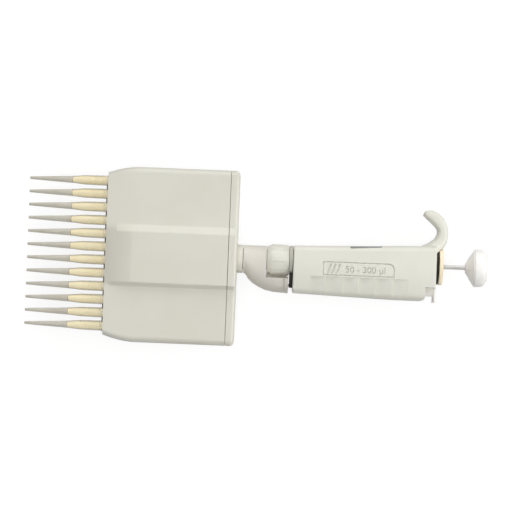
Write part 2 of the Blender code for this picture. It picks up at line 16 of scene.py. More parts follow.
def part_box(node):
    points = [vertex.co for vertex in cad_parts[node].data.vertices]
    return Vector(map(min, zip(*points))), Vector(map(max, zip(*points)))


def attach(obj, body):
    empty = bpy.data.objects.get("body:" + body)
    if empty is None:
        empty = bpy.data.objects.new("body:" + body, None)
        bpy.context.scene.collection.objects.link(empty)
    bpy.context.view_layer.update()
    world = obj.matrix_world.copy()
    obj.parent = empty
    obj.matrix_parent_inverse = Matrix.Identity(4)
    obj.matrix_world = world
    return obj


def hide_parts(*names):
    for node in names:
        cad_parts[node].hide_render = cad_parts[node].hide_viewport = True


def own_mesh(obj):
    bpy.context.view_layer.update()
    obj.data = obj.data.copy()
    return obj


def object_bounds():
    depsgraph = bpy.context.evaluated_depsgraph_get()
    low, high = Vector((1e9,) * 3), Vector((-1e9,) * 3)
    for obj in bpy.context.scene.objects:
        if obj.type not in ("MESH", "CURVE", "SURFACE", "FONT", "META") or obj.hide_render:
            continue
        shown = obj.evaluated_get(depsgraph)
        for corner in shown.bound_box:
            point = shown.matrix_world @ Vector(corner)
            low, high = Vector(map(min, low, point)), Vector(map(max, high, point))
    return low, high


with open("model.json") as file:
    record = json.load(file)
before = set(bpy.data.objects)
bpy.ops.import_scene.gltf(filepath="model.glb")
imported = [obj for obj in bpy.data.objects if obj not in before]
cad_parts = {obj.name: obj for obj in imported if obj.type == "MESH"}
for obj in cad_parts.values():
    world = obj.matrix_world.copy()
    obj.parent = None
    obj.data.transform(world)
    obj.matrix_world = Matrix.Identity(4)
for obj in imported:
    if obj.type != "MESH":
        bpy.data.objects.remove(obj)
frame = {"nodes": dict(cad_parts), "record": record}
cad_low, cad_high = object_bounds()

MM = 0.001
rod_low, rod_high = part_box("plunger_rod")
AXIS = Vector((0.0, 0.0, (rod_low.z + rod_high.z) / 2))


def place(x, y=0.0, z=0.0):
    """A point measured from the main axis, in the scene's metres."""
    return AXIS + Vector((x, y, z)) * MM


def span(node):
    """The box of a solid of the frame, measured from the main axis: two corners in millimetres."""
    low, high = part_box(node)
    return (low - AXIS) / MM, (high - AXIS) / MM


CHANNELS = 12
first_tip = (span("tip_01")[0].y + span("tip_01")[1].y) / 2
last_tip = (span("tip_12")[0].y + span("tip_12")[1].y) / 2
PITCH = (first_tip - last_tip) / (CHANNELS - 1)
SCREW_PLACES = [(-72.0, 5 * PITCH), (-72.0, -5 * PITCH)]
EJECT_ROD_Y = (span("ejector_rod")[0].y + span("ejector_rod")[1].y) / 2

FINE = 96  # sides of a large round piece
MEDIUM = 64
SMALL = 32


# ---------------------------------------------------------------- modelling helpers
def deselect():
    bpy.ops.object.select_all(action="DESELECT")


def activate(piece):
    deselect()
    piece.select_set(True)
    bpy.context.view_layer.objects.active = piece


def settle(name):
    """Names the primitive just added and puts its place into its mesh."""
    piece = bpy.context.object
    piece.name = name
    bpy.ops.object.transform_apply(location=True, rotation=True, scale=True)
    return piece


def edit(piece=None):
    if piece:
        activate(piece)
    bpy.ops.object.mode_set(mode="EDIT")
    bpy.ops.mesh.select_all(action="SELECT")


def leave():
    bpy.ops.object.mode_set(mode="OBJECT")


def pick(kind, test):
    """Selects the vertices, edges or faces whose middle passes the test. The test gets the middle in
    millimetres from the axis."""
    bpy.ops.mesh.select_mode(type=kind)
    bpy.ops.mesh.select_all(action="DESELECT")
    data = bpy.context.object.data
    mesh = bmesh.from_edit_mesh(data)
    parts = {"VERT": mesh.verts, "EDGE": mesh.edges, "FACE": mesh.faces}[kind]
    for part in parts:
        corners = [part] if kind == "VERT" else part.verts
        middle = sum((corner.co for corner in corners), Vector()) / len(corners)
        if test((middle - AXIS) / MM):
            part.select_set(True)
    mesh.select_flush_mode()
    bmesh.update_edit_mesh(data)


def edit_vertices():
    return bmesh.from_edit_mesh(bpy.context.object.data).verts


def slide(x, y=0.0, z=0.0):
    bpy.ops.transform.translate(value=Vector((x, y, z)) * MM)


def slice_at(point, normal, **settings):
    """Cuts the whole piece along a plane."""
    bpy.ops.mesh.select_all(action="SELECT")
    bpy.ops.mesh.bisect(plane_co=place(*point), plane_no=normal, **settings)


def extrude_to(step, edges=False):
    """Extrudes what is selected by a step in millimetres."""
    move = {"value": Vector(step) * MM}
    if edges:
        bpy.ops.mesh.extrude_edges_move(TRANSFORM_OT_translate=move)
    else:
        bpy.ops.mesh.extrude_region_move(TRANSFORM_OT_translate=move)


def scale_about(x, y, factor_y, factor_z):
    bpy.ops.transform.resize(value=(1.0, factor_y, factor_z), center_override=place(x, y))


def turned(name, profile, sides=FINE, y=0.0):
    """A piece turned about an axis along X: a circle extruded and scaled from point to point of the
    profile. A profile that starts on the axis makes a solid piece. Any other closes on itself, round a
    bore."""
    bored = profile[0][1] > 0
    points = profile if bored else profile[1:]
    x, radius = points[0]
    deselect()
    bpy.ops.mesh.primitive_circle_add(
        vertices=sides,
        radius=radius * MM,
        fill_type="NOTHING" if bored else "NGON",
        location=place(x, y),
        rotation=(0.0, math.radians(90), 0.0),
    )
    piece = settle(name)
    edit()
    for next_x, next_radius in points[1:] + (points[:1] if bored else []):
        extrude_to((next_x - x, 0, 0), edges=bored)
        if next_radius != radius:
            scale_about(next_x, y, next_radius / radius, next_radius / radius)
        x, radius = next_x, next_radius
    weld()
    leave()
    return piece


def weld():
    """Merges doubles and turns the faces outwards, in edit mode."""
    bpy.ops.mesh.select_all(action="SELECT")
    bpy.ops.mesh.remove_doubles(threshold=1e-6)
    bpy.ops.mesh.normals_make_consistent(inside=False)


def rounded_loft(name, stations, radius, segments=10, bulge=0.0):
    """A plate with rounded corners, extruded along X. A station is (x, middle y, half height, half width).
    With a bulge, a share of the width is lost towards the edges, in an even curve."""
    x, y, half_y, half_z = stations[0]
    deselect()
    bpy.ops.mesh.primitive_plane_add(
        size=2 * MM,
        location=place(x, y),
        rotation=(0.0, math.radians(90), 0.0),
    )
    bpy.context.object.scale = (half_z, half_y, 1.0)
    piece = settle(name)
    edit()
    bpy.ops.mesh.bevel(offset=radius * MM, segments=segments, affect="VERTICES")
    if bulge:
        pick("EDGE", lambda p: abs(abs(p.z) - half_z) < 0.01)
        bpy.ops.mesh.subdivide(number_cuts=15)
        for row in sorted({round((v.co.y - AXIS.y) / MM, 3) for v in edit_vertices()}):
            pick("VERT", lambda p: abs(p.y - row) < 0.002)
            scale_about(x, y, 1.0, 1.0 - bulge * ((row - y) / half_y) ** 2)
    bpy.ops.mesh.select_all(action="SELECT")
    for next_x, next_y, next_half_y, next_half_z in stations[1:]:
        extrude_to((next_x - x, next_y - y, 0))
        scale_about(next_x, next_y, next_half_y / half_y, next_half_z / half_z)
        x, y, half_y, half_z = next_x, next_y, next_half_y, next_half_z
    weld()
    leave()
    return piece


def block(name, x_span, y_span, z_span):
    """A box between the given limits, to cut or to shape further."""
    spans = (x_span, y_span, z_span)
    deselect()
    bpy.ops.mesh.primitive_cube_add(size=MM, location=place(*[sum(s) / 2 for s in spans]))
    bpy.context.object.scale = [s[1] - s[0] for s in spans]
    return settle(name)


def rod_along_z(name, x, y, z_span, radius, sides=SMALL):
    """A post along Z, to cut or to join."""
    deselect()
    bpy.ops.mesh.primitive_cylinder_add(
        vertices=sides,
        radius=radius * MM,
        depth=(z_span[1] - z_span[0]) * MM,
        location=place(x, y, sum(z_span) / 2),
    )
    return settle(name)


def apply_modifier(piece, kind, **settings):
    activate(piece)
    modifier = piece.modifiers.new(kind.lower(), kind)
    for key, value in settings.items():
        setattr(modifier, key, value)
    bpy.ops.object.modifier_apply(modifier=modifier.name)


def combine(piece, other, operation="DIFFERENCE"):
    """Cuts the other shape out of the piece, or joins it on, and removes the other."""
    apply_modifier(piece, "BOOLEAN", object=other, operation=operation)
    bpy.data.objects.remove(other)


def drill(piece, start, end, radius, sides=FINE, y=0.0):
    """Cuts a round hole along X out of the piece."""
    combine(piece, turned("drill", [(start, 0.0), (start, radius), (end, radius)], sides, y))


def round_edges(piece, test, radius, segments):
    """Rounds the edges whose middle passes the test."""
    edit(piece)
    pick("EDGE", test)
    bpy.ops.mesh.bevel(offset=radius * MM, segments=segments, affect="EDGES")
    leave()


def soften(piece, width, segments=3, angle=38.0):
    """Rounds the sharp edges."""
    apply_modifier(
        piece,
        "BEVEL",
        width=width * MM,
        segments=segments,
        limit_method="ANGLE",
        angle_limit=math.radians(angle),
    )


def lettering(name, words, point, size, thickness, alignment="LEFT"):
    """Flat letters facing up, made a mesh."""
    deselect()
    bpy.ops.object.text_add(location=point)
    text = bpy.context.object.data
    text.body = words
    text.size = size * MM
    text.extrude = thickness * MM
    text.align_x = alignment
    if alignment == "CENTER":
        text.align_y = alignment
    bpy.ops.object.convert(target="MESH")
    piece = settle(name)
    edit(piece)
    weld()
    leave()
    return piece


def finish_piece(piece, body, nodes, slot, smooth=33.0, material=None):
    """Shades the piece, gives it the slot's own material or the one that is named, and lets it stand for
    the solids of the frame."""
    activate(piece)
    bpy.ops.object.shade_smooth_by_angle(angle=math.radians(smooth))
    piece.data.materials.clear()
    piece.data.materials.append(material or FINISHES[slot])
    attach(piece, body)
    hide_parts(*nodes)


def copy_of(piece, name, y):
    """A copy with its own mesh, moved across the head."""
    copy = piece.copy()
    copy.data = piece.data.copy()
    copy.data.transform(Matrix.Translation((0.0, y * MM, 0.0)))
    copy.name = name
    bpy.context.scene.collection.objects.link(copy)
    return copy


# ---------------------------------------------------------------- shader graph
class Socket:
    """An output of the shader graph. Arithmetic on it adds Math nodes."""

    def __init__(self, graph, output):
        self.graph = graph
        self.output = output

    def maths(self, operation, first, second):
        node = self.graph.node("ShaderNodeMath", {"operation": operation}, {0: first, 1: second})
        return Socket(self.graph, node.outputs[0])

    def __add__(self, other):
        return self.maths("ADD", self, other)

    def __radd__(self, other):
        return self.maths("ADD", other, self)

    def __sub__(self, other):
        return self.maths("SUBTRACT", self, other)

    def __rsub__(self, other):
        return self.maths("SUBTRACT", other, self)

    def __mul__(self, other):
        return self.maths("MULTIPLY", self, other)

    def __rmul__(self, other):
        return self.maths("MULTIPLY", other, self)


class Graph:
    """A material's node tree round one Principled BSDF."""

    def __init__(self, name):
        self.material = bpy.data.materials.new(name)
        self.material.use_nodes = True
        self.tree = self.material.node_tree
        self.shader = self.tree.nodes["Principled BSDF"]

    def node(self, kind, settings=None, inputs=None):
        """Adds a node. Its settings are set first, then the values or links of its sockets."""
        node = self.tree.nodes.new(kind)
        for key, value in (settings or {}).items():
            setattr(node, key, value)
        for key, value in (inputs or {}).items():
            self.feed(node.inputs[key], value)
        return node

    def feed(self, socket, value):
        if isinstance(value, Socket):
            self.tree.links.new(value.output, socket)
        else:
            socket.default_value = value

    def out(self, node, key=0):
        return Socket(self, node.outputs[key])

    def place_on_piece(self):
        return self.out(self.node("ShaderNodeTexCoord"), "Object")

    def noise(self, scale, detail=3.0, stretch=(1.0, 1.0, 1.0)):
        """Noise over the piece, with its scale per metre and a stretch of its pattern along each axis."""
        mapping = self.node("ShaderNodeMapping", None, {"Vector": self.place_on_piece(), "Scale": stretch})
        node = self.node(
            "ShaderNodeTexNoise",
            None,
            {"Vector": self.out(mapping), "Scale": scale, "Detail": detail},
        )
        return self.out(node, 0)

    def mix(self, factor, first, second):
        settings = {"data_type": "RGBA"}
        node = self.node("ShaderNodeMix", settings, {0: factor, 6: first, 7: second})
        return self.out(node, 2)

    def bump(self, height, strength, depth):
        """Bump of a depth given in millimetres."""
        inputs = {"Strength": strength, "Distance": depth * MM, "Height": height}
        return self.out(self.node("ShaderNodeBump", None, inputs))

    def set(self, **values):
        """Sets the shader's sockets, with underscores for the spaces in their names."""
        for key, value in values.items():
            self.feed(self.shader.inputs[key.replace("_", " ")], value)
        return self.material


def tone(red, green, blue):
    """A colour of the screen, 0 to 255, as linear light."""
    return tuple(((c / 255 + 0.055) / 1.055) ** 2.4 for c in (red, green, blue)) + (1.0,)


def step(graph, value, low, high):
    """0 below the low limit, 1 above the high one, and smooth between."""
    settings = {"interpolation_type": "SMOOTHSTEP"}
    inputs = {"Value": value, "From Min": low, "From Max": high}
    return graph.out(graph.node("ShaderNodeMapRange", settings, inputs))


def moulded_plastic(name, light, dark, roughness, grain=0.6, painted_glow=0.0):
    """Injection-moulded plastic: a faint drift of colour, fine eroded grain and uneven gloss. The painted
    glow is emission that makes the piece shine though it is no lamp: painted light."""
    graph = Graph(name)
    drift = graph.noise(28.0, 4.0)
    specks = graph.noise(2600.0, 2.0)
    colour = graph.mix(step(graph, drift, 0.36, 0.64), light, dark)
    speck_mask = step(graph, specks, 0.62, 0.8) * 0.12
    colour = graph.mix(speck_mask, colour, tuple(0.7 * c for c in dark[:3]) + (1.0,))
    grain_height = graph.noise(5200.0, 3.0) * grain + specks * 0.4
    gloss = graph.noise(140.0, 4.0)
    graph.set(
        Base_Color=colour,
        Roughness=roughness - 0.05 + 0.1 * gloss,
        Normal=graph.bump(grain_height, 0.25, 0.03),
        IOR=1.48,
    )
    # Painted light: emission makes the piece glow though it is no lamp.
    if painted_glow:
        graph.set(Emission_Color=colour, Emission_Strength=painted_glow)
    return graph.material


def brushed_steel(name):
    """Drawn steel, with fine lines along the rod."""
    graph = Graph(name)
    lines = graph.noise(900.0, 5.0, (0.03, 1.0, 1.0))
    stains = graph.noise(60.0, 3.0)
    colour = graph.mix(step(graph, stains, 0.3, 0.75), tone(222, 222, 220), tone(190, 189, 186))
    graph.set(
        Base_Color=colour,
        Metallic=1.0,
        Roughness=0.2 + 0.22 * lines,
        Normal=graph.bump(lines, 0.3, 0.02),
    )
    return graph.material


def satin_steel(name):
    """Ground steel under a dull film of handling, with rings from the grinding wheel."""
    graph = Graph(name)
    rings = graph.noise(1600.0, 3.0, (1.0, 0.05, 0.05))
    film = graph.noise(80.0, 3.0)
    colour = graph.mix(step(graph, film, 0.3, 0.7), tone(212, 212, 209), tone(196, 195, 192))
    graph.set(
        Base_Color=colour,
        Metallic=0.55 + 0.2 * film,
        Roughness=0.38 + 0.2 * rings,
        Normal=graph.bump(rings, 0.3, 0.02),
    )
    return graph.material


def turned_brass(name):
    """Brass with the fine rings that a lathe leaves."""
    graph = Graph(name)
    rings = graph.noise(1500.0, 2.0, (1.0, 0.02, 0.02))
    tarnish = graph.noise(90.0, 4.0)
    colour = graph.mix(step(graph, tarnish, 0.35, 0.7), tone(214, 178, 104), tone(168, 132, 72))
    graph.set(
        Base_Color=colour,
        Metallic=1.0,
        Roughness=0.26 + 0.2 * rings,
        Normal=graph.bump(rings, 0.35, 0.03),
    )
    return graph.material


def soft_rubber(name):
    """Black rubber with a dusty bloom."""
    graph = Graph(name)
    bloom = graph.noise(300.0, 5.0)
    colour = graph.mix(step(graph, bloom, 0.45, 0.75), tone(20, 18, 8), tone(44, 40, 20))
    graph.set(
        Base_Color=colour,
        Roughness=0.55 + 0.25 * bloom,
        Normal=graph.bump(graph.noise(4200.0, 3.0), 0.3, 0.03),
    )
    return graph.material


def tip_plastic(name):
    """Clear plastic round the nozzle, with a frosted grey end below it and a milky collar at the top. The
    collar is painted paler than it is, as painted light against the shadow that the head casts on it.
    Streaks follow its flow along the mould, and the wall looks denser where it is seen edge on."""
    graph = Graph(name)
    flow = graph.noise(700.0, 4.0, (0.08, 1.0, 1.0))
    haze = graph.noise(90.0, 3.0)
    length = graph.out(graph.node("ShaderNodeSeparateXYZ", None, {0: graph.place_on_piece()}), "X")
    frosted = 1.0 - step(graph, length, FROST_X - FROST_BLEND, FROST_X + FROST_BLEND)
    milky_collar_painted_paler = step(graph, length, COLLAR_X - COLLAR_BLEND, COLLAR_X + COLLAR_BLEND)
    edge = graph.out(graph.node("ShaderNodeLayerWeight", None, {"Blend": 0.4}), "Facing")
    body = graph.mix(step(graph, haze, 0.3, 0.7), tone(132, 124, 94), tone(122, 115, 87))
    frost = graph.mix(step(graph, haze, 0.3, 0.7), tone(228, 223, 210), tone(219, 214, 198))
    colour = graph.mix(frosted, body, frost)
    # The collar's colour is partly its own milky tone and partly painted light, made paler to make up for
    # the head's shadow on it.
    colour = graph.mix(milky_collar_painted_paler, colour, tone(252, 250, 240))
    graph.set(
        Base_Color=colour,
        Alpha=0.01 + 0.05 * flow + 0.6 * frosted + 0.3 * milky_collar_painted_paler + 0.9 * edge * edge,
        Roughness=0.22 + 0.2 * haze,
        Normal=graph.bump(flow, 0.25, 0.03),
        IOR=1.49,
    )
    return graph.material


def clear_plastic(name):
    """A clear moulded window with a few faint scuffs, and a grey band of painted shade along both of its
    long edges, which stands for the shadow of the window's recess.
    """
    graph = Graph(name)
    scuffs = graph.noise(260.0, 5.0, (0.3, 1.0, 1.0))
    colour = graph.mix(step(graph, scuffs, 0.55, 0.8), tone(160, 160, 157), tone(186, 186, 182))
    height = graph.out(graph.node("ShaderNodeSeparateXYZ", None, {0: graph.place_on_piece()}), "Z")
    inner, outer = SHADE_BAND_Z[0] * MM, SHADE_BAND_Z[1] * MM
    shade_band = step(graph, height, AXIS.z + inner, AXIS.z + outer)
    shade_band = shade_band + 1.0 - step(graph, height, AXIS.z - outer, AXIS.z - inner)
    # Painted shade: a nearly opaque dark grey band stands for the shadow at the window's edges.
    colour = graph.mix(shade_band, colour, tone(150, 149, 145))
    graph.set(
        Base_Color=colour,
        Alpha=0.12 + 0.1 * step(graph, scuffs, 0.6, 0.9) + 0.78 * shade_band,
        Roughness=0.06 + 0.2 * step(graph, scuffs, 0.5, 0.8),
        IOR=1.49,
    )
    return graph.material


def floor_paper(name):
    """Plain pale paper, lit evenly."""
    graph = Graph(name)
    fibres = graph.noise(400.0, 4.0)
    colour = graph.mix(fibres, tone(120, 120, 119), tone(126, 126, 125))
    graph.set(Base_Color=colour, Roughness=0.8, Emission_Color=tone(255, 255, 255), Emission_Strength=0.85)
    return graph.material


FROST_X = (AXIS.x + span("nozzle_01")[0].x * MM) + 0.0004
COLLAR_X = (AXIS.x + span("tip_01")[1].x * MM) - 0.0022
FROST_BLEND, COLLAR_BLEND = 0.0004, 0.0003  # half lengths of the soft changes
SHADE_BAND_Z = (10.8, 11.4)  # inner and outer limits of the window's bands of painted shade, in millimetres

SHELL_TONES = tone(220, 218, 206), tone(217, 214, 201)
HANDLE_TONES = tone(228, 227, 216), tone(225, 224, 212)
ARM_TONES = tone(218, 214, 204), tone(213, 208, 198)
WHITE_TONES = tone(254, 252, 248), tone(250, 248, 244)
CREAM_TONES = tone(252, 238, 210), tone(247, 231, 201)
GREY_TONES = tone(204, 202, 192), tone(196, 194, 183)
NOZZLE_TONES = tone(255, 244, 208), tone(253, 239, 199)
BLACK_TONES = tone(34, 34, 34), tone(26, 26, 26)

FINISHES = {
    "light_grey_plastic": moulded_plastic("shell_plastic", *SHELL_TONES, 0.44),
    "white_plastic": moulded_plastic("white_plastic", *WHITE_TONES, 0.3, 0.25),
    "cream_plastic": moulded_plastic("cream_plastic", *CREAM_TONES, 0.36, 0.3),
    "grey_plastic": moulded_plastic("grey_plastic", *GREY_TONES, 0.5),
    # Painted light: the nozzles glow a little, to make up for the shade of the tips and the head round
    # them.
    "nozzle_cream": moulded_plastic("nozzle_cream", *NOZZLE_TONES, 0.42, 0.3, 0.17),
    "tip_plastic": tip_plastic("tip_plastic"),
    "clear_plastic": clear_plastic("clear_plastic"),
    "black_plastic": moulded_plastic("black_plastic", *BLACK_TONES, 0.4, 0.3),
    "black_rubber": soft_rubber("black_rubber"),
    "steel": brushed_steel("drawn_steel"),
    "brass": turned_brass("turned_brass"),
}
ARM_PLASTIC = moulded_plastic("arm_plastic", *ARM_TONES, 0.46)
HANDLE_PLASTIC = moulded_plastic("handle_plastic", *HANDLE_TONES, 0.42)
SATIN_STEEL = satin_steel("satin_steel")


# ---------------------------------------------------------------- tips and nozzles
def make_channels():
    low, high = span("tip_01")
    end, top = low.x, high.x
    tip_profile = [
        (top, 3.1),
        (top, 3.4),
        (top - 0.3, 3.6),
        (top - 1.3, 3.6),
        (top - 1.6, 3.42),
        (top - 9.0, 3.3),
        (top - 15.6, 3.18),
        (top - 17.0, 3.1),
        (top - 19.6, 2.86),
        (top - 22.2, 2.62),
        (top - 31.0, 2.12),
        (top - 40.7, 1.68),
        (end + 0.5, 1.0),
        (end, 0.85),
        (end, 0.5),
        (top - 24.7, 1.98),
        (top - 17.7, 2.88),
    ]
    sides = 48
    fins = 8
    tip = turned("clear_tip_01", tip_profile, sides, first_tip)
    edit(tip)

    def on_fin(point):
        angle = math.degrees(math.atan2(point.z, point.y - first_tip)) % 360
        outside = math.hypot(point.z, point.y - first_tip) > 3.05
        on_ridge = int(angle / (360 / sides)) % (sides // fins) == 0
        return outside and top - 16 < point.x < top - 2 and on_ridge

    pick("FACE", on_fin)
    bpy.ops.mesh.extrude_region_shrink_fatten(TRANSFORM_OT_shrink_fatten={"value": 0.16 * MM})
    leave()

    n_low, n_high = span("nozzle_01")
    end, top = n_low.x, n_high.x
    bore = 0.8
    nozzle_profile = [
        (end, bore),
        (end, 1.6),
        (end + 0.25, 1.82),
        (end + 3.0, 2.2),
        (end + 6.6, 2.68),
        (end + 9.0, 2.82),
        (end + 14.0, 2.88),
        (end + 14.5, 2.7),
        (end + 15.5, 2.7),
        (end + 16.0, 2.9),
        (top - 11.6, 2.98),
        (top - 11.6, 3.1),
        (top - 11.3, 3.4),
        (top - 10.3, 3.4),
        (top - 10.0, 3.1),
        (top - 10.0, 2.9),
        (top, 2.9),
        (top, bore),
    ]
    nozzle = turned("cream_nozzle_01", nozzle_profile, SMALL, first_tip)
    for number in range(CHANNELS, 0, -1):
        shift = -(number - 1) * PITCH
        new_tip = tip if number == 1 else copy_of(tip, f"clear_tip_{number:02d}", shift)
        new_nozzle = nozzle if number == 1 else copy_of(nozzle, f"cream_nozzle_{number:02d}", shift)
        finish_piece(new_tip, "tips", [f"tip_{number:02d}"], "tip_plastic", 28.0)
        finish_piece(new_nozzle, "head", [f"nozzle_{number:02d}"], "nozzle_cream", 28.0)


# ---------------------------------------------------------------- head
cover_low, cover_high = span("head_front_cover")
MOUTH_X = cover_low.x
PARTING_X = cover_high.x
HALF_WIDTH = cover_high.y
PANEL_Z = cover_high.z
FLAT_Z = 12.0
EDGE_RADIUS = 4.4
MOUTH_HALF_WIDTH = 55.2
SHOULDER_X = -81.0
PANEL_LINES = (-21.6, -18.9, 15.5, 20.5)  # foot, top, top and foot of the panel's two sides
RAMP_X = (MOUTH_X, -85.0)
PARTING_GAP = 0.15
FAR = 1000.0  # past either end of the pipette


def shoulder_half_width(x):
    """The head narrows towards its mouth in an easy curve."""
    share = max(0.0, (SHOULDER_X - x) / (SHOULDER_X - MOUTH_X))
    return HALF_WIDTH - (HALF_WIDTH - MOUTH_HALF_WIDTH) * share**1.8


def raise_panel(ramp=None):
    """Lifts the middle of both broad faces into a panel with sloping sides, and with a ramp at the end
    towards the mouth where one is given."""
    for y in PANEL_LINES:
        slice_at((0, y, 0), (0, 1, 0))
    if not ramp:
        lift_panel(-FAR, FAR, 1.0)
        return
    low, high = ramp
    stops = 8
    for i in range(1, stops + 1):
        slice_at((low + (high - low) * i / stops, 0, 0), (1, 0, 0))
    lift_panel(high - 0.01, FAR, 1.0)
    for x in sorted({round((v.co.x - AXIS.x) / MM, 3) for v in edit_vertices()}):
        if low + 0.01 < x < high - 0.01:
            share = (x - low) / (high - low)
            lift_panel(x - 0.002, x + 0.002, share + 0.6 * share * (1 - share))


def lift_panel(low_x, high_x, share):
    """Lifts the panel's top on both broad faces, between two places along the head."""
    for side in (1, -1):
        pick(
            "VERT",
            lambda p: PANEL_LINES[1] - 0.01 < p.y < PANEL_LINES[2] + 0.01
            and low_x < p.x < high_x
            and side * p.z > FLAT_Z / 2,
        )
        slide(0, 0, side * share * (PANEL_Z - FLAT_Z))


def make_covers():
    steps = 9
    shoulder = [SHOULDER_X + (MOUTH_X - SHOULDER_X) * (i / steps) for i in range(steps + 1)]
    stations = [(x, 0.0, shoulder_half_width(x), FLAT_Z) for x in [PARTING_X, *shoulder]]
    shell = rounded_loft("front_cover", stations, EDGE_RADIUS)
    edit(shell)
    raise_panel(RAMP_X)
    pick("FACE", lambda p: p.x < MOUTH_X + 0.01 or p.x > PARTING_X - 0.01)
    bpy.ops.mesh.delete(type="FACE")
    leave()
    soften(shell, 0.7, 3, 24.0)
    apply_modifier(shell, "SOLIDIFY", thickness=1.5 * MM, offset=-1.0, use_even_offset=True)
    back = copy_of(shell, "back_cover", 0.0)
    for piece, side in ((shell, 1), (back, -1)):
        edit(piece)
        slice_at((0, 0, side * PARTING_GAP), (0, 0, side), use_fill=True, clear_inner=True)
        leave()
    for x, y in SCREW_PLACES:
        combine(back, rod_along_z("recess", x, y, (-14.0, -9.0), 2.9))
    for piece, node in ((shell, "head_front_cover"), (back, "head_back_cover")):
        soften(piece, 0.25, 2, 50.0)
        finish_piece(piece, "head", [node], "light_grey_plastic")
        apply_modifier(piece, "WEIGHTED_NORMAL", keep_sharp=True)


def make_end_cap():
    low, high = span("head_end_cap")
    # share of the cap's depth, and how far its rim has drawn in there
    rounding = [
        (0.0, 0.0),
        (0.6, 0.0),
        (0.7, 0.15),
        (0.79, 0.45),
        (0.87, 0.95),
        (0.94, 1.7),
        (0.98, 2.5),
        (1.0, 3.4),
    ]
    depth = high.x - low.x
    stations = [
        (low.x + depth * share, 0.0, HALF_WIDTH - inset, FLAT_Z - inset)
        for share, inset in rounding
    ]
    cap = rounded_loft("end_cap", stations, EDGE_RADIUS)
    edit(cap)
    raise_panel()
    leave()
    neck_hole = 10.7
    drill(cap, low.x - 1, high.x + 1, neck_hole)
    soften(cap, 0.2, 2, 50.0)
    finish_piece(cap, "head", ["head_end_cap"], "light_grey_plastic", 36.0)
    apply_modifier(cap, "WEIGHTED_NORMAL", keep_sharp=True)


def make_screws():
    """Two pan-head screws with a cross recess, sunk in the back cover."""
    head = 1.6
    for number, (x, y) in enumerate(SCREW_PLACES, 1):
        node = f"head_screw_{number}"
        low, high = span(node)
        screw = rod_along_z(f"cross_screw_{number}", x, y, (low.z, low.z + head), 2.55)
        edit(screw)
        pick("FACE", lambda p: p.z < low.z + 0.01)
        bpy.ops.mesh.bevel(offset=0.4 * MM, segments=3, affect="EDGES")
        pick("FACE", lambda p: p.z > low.z + head - 0.01)
        bpy.ops.mesh.inset(thickness=1.3 * MM)
        extrude_to((0, 0, high.z - low.z - head))
        leave()
        for half_x, half_y in ((1.5, 0.3), (0.3, 1.5)):
            slot = (x - half_x, x + half_x), (y - half_y, y + half_y)
            combine(screw, block("recess", *slot, (low.z - 1, low.z + 0.8)))
        finish_piece(screw, "head", [node], "steel")


def make_stripper():
    """The bar that pushes the tips off, and a dark strip with holes for the tips at the mouth: painted
    shade, which stands for the shadow between the tips there.
    """
    low, high = span("ejector_plate")
    bar = block("stripper_bar", (low.x, high.x), (low.y, high.y), (low.z, high.z))
    round_edges(bar, lambda p: abs(p.x - (low.x + high.x) / 2) < 0.1, 3.0, 6)
    nozzle_hole = 3.2
    for channel in range(CHANNELS):
        drill(bar, low.x - 1, high.x + 1, nozzle_hole, SMALL, first_tip - channel * PITCH)
    soften(bar, 0.3, 2, 50.0)
    finish_piece(bar, "tip_stripper", ["ejector_plate"], "light_grey_plastic")

    # Painted shade: a black strip at the mouth, seen between the tips, where there is only shadow.
    mouth_shade = block("stripper_mouth_shade", (MOUTH_X - 1.3, low.x + 0.1), (low.y, high.y), (-2.5, 2.5))
    tip_hole = 3.8
    for channel in range(CHANNELS):
        drill(mouth_shade, MOUTH_X - 3, MOUTH_X + 1, tip_hole, SMALL, first_tip - channel * PITCH)
    finish_piece(mouth_shade, "tip_stripper", [], "black_rubber")


def make_fork():
    """The fork that carries the stripper bar from the ring at the neck."""
    low, high = span("ejector_fork")
    ring_r = high.z
    bore = 7.35
    yoke_x = (-25.0, -22.5)
    fork = turned(
        "stripper_fork",
        [
            (yoke_x[1] - 1.0, bore),
            (yoke_x[1] - 1.0, ring_r),
            (high.x - 0.5, ring_r),
            (high.x - 0.2, ring_r - 0.12),
            (high.x, ring_r - 0.5),
            (high.x, bore),
        ],
    )
    yoke = block("yoke", yoke_x, (low.y, high.y), (-8.6, 8.6))
    drill(yoke, -27.0, -20.0, bore)
    for side in (1, -1):
        for up in (1, -1):
            rail_y = sorted((side * 25.0, side * 33.0))
            rail_z = sorted((up * 7.2, up * 8.6))
            combine(yoke, block("rail", (low.x, yoke_x[0] + 1.0), rail_y, rail_z), "UNION")
    combine(fork, yoke, "UNION")
    shell_plastic = FINISHES["light_grey_plastic"]
    finish_piece(fork, "tip_stripper", ["ejector_fork"], "grey_plastic", material=shell_plastic)


